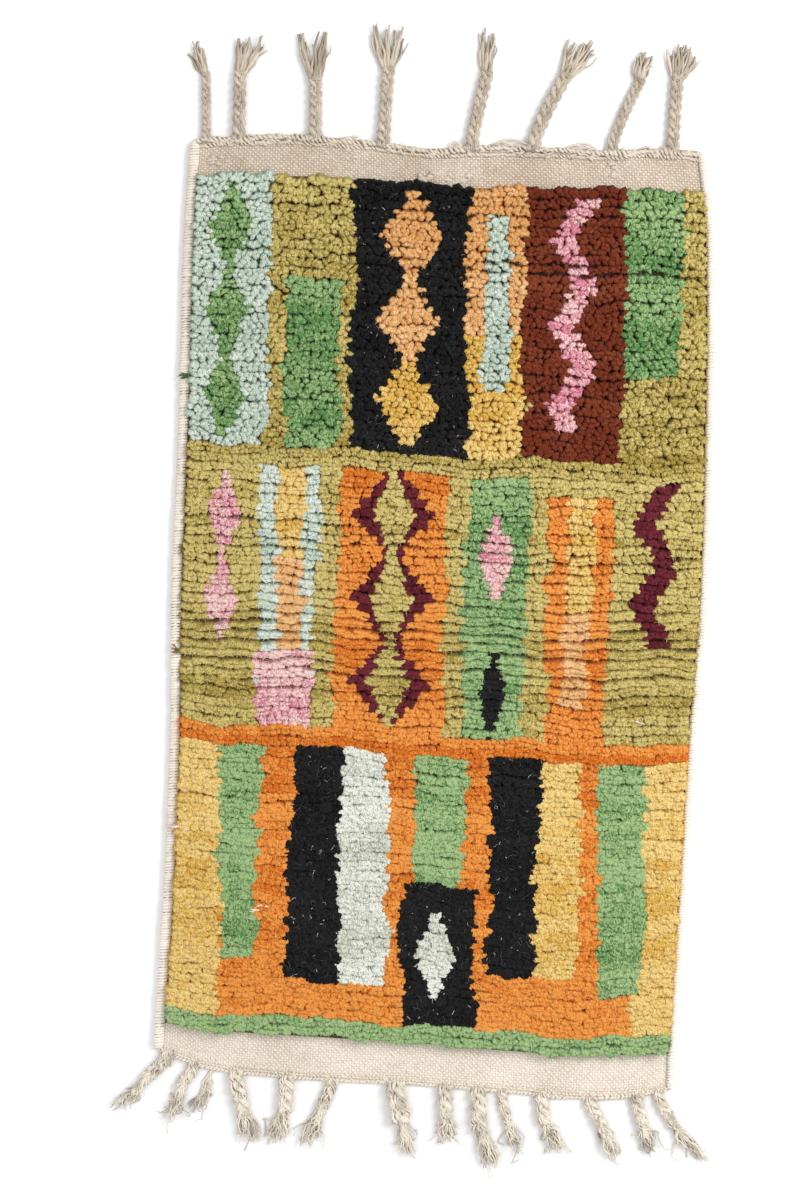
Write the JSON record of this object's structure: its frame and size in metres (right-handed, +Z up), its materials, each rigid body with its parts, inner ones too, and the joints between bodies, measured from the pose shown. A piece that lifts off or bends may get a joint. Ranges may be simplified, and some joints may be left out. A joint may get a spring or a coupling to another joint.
{
  "type": "moroccan rug",
  "caption": "Small hand-knotted wool pile rug lying flat, with coloured bars in registers, bare woven ends, overcast sides and plaited warp tassels.",
  "frame": {"origin": "on the floor, under the middle of the whole rug with its tassels", "axes": "+Z up out of the pile, +Y along the warp towards the end with the long plaits, +X across the rug"},
  "size_m": [0.6832, 1.3004, 0.017],
  "materials": {
    "pile_wool": "dyed hand-spun wool in short knotted pile, matt and fuzzy",
    "ivory_wool": "undyed ivory warp and weft yarn, matt"
  },
  "bodies": {
    "root": {"pile_cloth": "pile_wool", "overcast_left": "ivory_wool", "overcast_right": "ivory_wool", "top_tassel_1": "ivory_wool", "top_tassel_2": "ivory_wool", "top_tassel_3": "ivory_wool", "top_tassel_4": "ivory_wool", "top_tassel_5": "ivory_wool", "top_tassel_6": "ivory_wool", "top_tassel_7": "ivory_wool", "top_tassel_8": "ivory_wool", "bottom_tassel_1": "ivory_wool", "bottom_tassel_2": "ivory_wool", "bottom_tassel_3": "ivory_wool", "bottom_tassel_4": "ivory_wool", "bottom_tassel_5": "ivory_wool", "bottom_tassel_6": "ivory_wool", "bottom_tassel_7": "ivory_wool", "bottom_tassel_8": "ivory_wool", "bottom_tassel_9": "ivory_wool", "bottom_tassel_10": "ivory_wool", "bottom_tassel_11": "ivory_wool", "bottom_tassel_12": "ivory_wool", "bottom_tassel_13": "ivory_wool", "bottom_tassel_14": "ivory_wool"}
  },
  "joints": []
}
